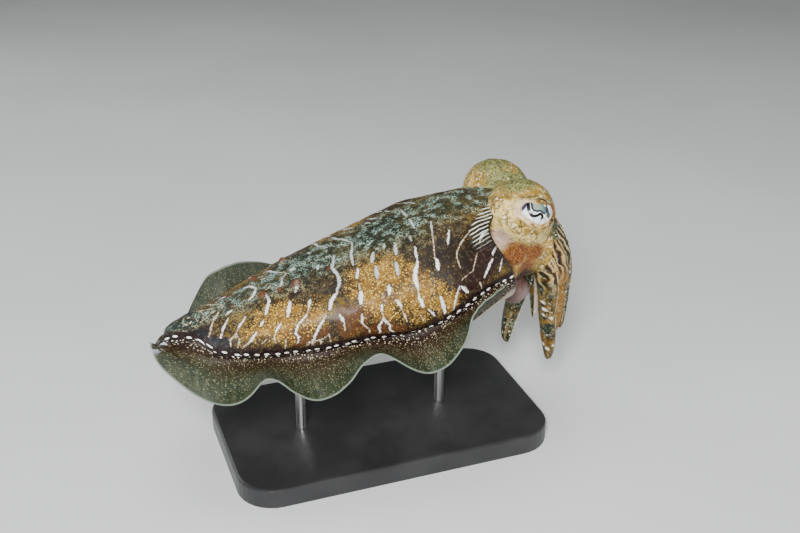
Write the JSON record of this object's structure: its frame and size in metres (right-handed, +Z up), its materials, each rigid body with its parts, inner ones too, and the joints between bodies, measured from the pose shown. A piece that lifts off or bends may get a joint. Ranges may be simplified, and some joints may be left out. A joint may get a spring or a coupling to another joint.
{
  "type": "common cuttlefish",
  "caption": "Life-size still model of a common cuttlefish, hovering with its arms hanging, on a plain display stand.",
  "frame": {"origin": "centre of the underside of the stand's base", "axes": "+X towards the animal's head, +Y towards its left side, +Z up"},
  "size_m": [0.2529, 0.1501, 0.158],
  "materials": {
    "mantle_skin": "moist brown skin mottled gold, with white dashes",
    "head_skin": "moist cream and golden skin",
    "arm_skin": "moist skin barred dark brown, gold and cream",
    "fin_skin": "thin brown membrane with white dots",
    "funnel_skin": "smooth pinkish grey skin",
    "eye": "wet gloss, silver iris and black W pupil",
    "stand_base": "satin black",
    "stand_rod": "brushed"
  },
  "bodies": {
    "root": {"mantle": "mantle_skin", "head": "head_skin", "eye_left": "eye", "eye_right": "eye", "funnel": "funnel_skin", "stand_base": "stand_base", "stand_rod_rear": "stand_rod", "stand_rod_front": "stand_rod", "arm_left_1_root": "arm_skin", "arm_left_1_middle": "arm_skin", "arm_left_1_tip": "arm_skin", "arm_left_2_root": "arm_skin", "arm_left_2_middle": "arm_skin", "arm_left_2_tip": "arm_skin", "arm_left_3_root": "arm_skin", "arm_left_3_middle": "arm_skin", "arm_left_3_tip": "arm_skin", "arm_left_4_root": "arm_skin", "arm_left_4_middle": "arm_skin", "arm_left_4_tip": "arm_skin", "arm_right_1_root": "arm_skin", "arm_right_1_middle": "arm_skin", "arm_right_1_tip": "arm_skin", "arm_right_2_root": "arm_skin", "arm_right_2_middle": "arm_skin", "arm_right_2_tip": "arm_skin", "arm_right_3_root": "arm_skin", "arm_right_3_middle": "arm_skin", "arm_right_3_tip": "arm_skin", "arm_right_4_root": "arm_skin", "arm_right_4_middle": "arm_skin", "arm_right_4_tip": "arm_skin", "fin_left_rear": "fin_skin", "fin_left_middle": "fin_skin", "fin_left_front": "fin_skin", "fin_right_rear": "fin_skin", "fin_right_middle": "fin_skin", "fin_right_front": "fin_skin"}
  },
  "joints": []
}
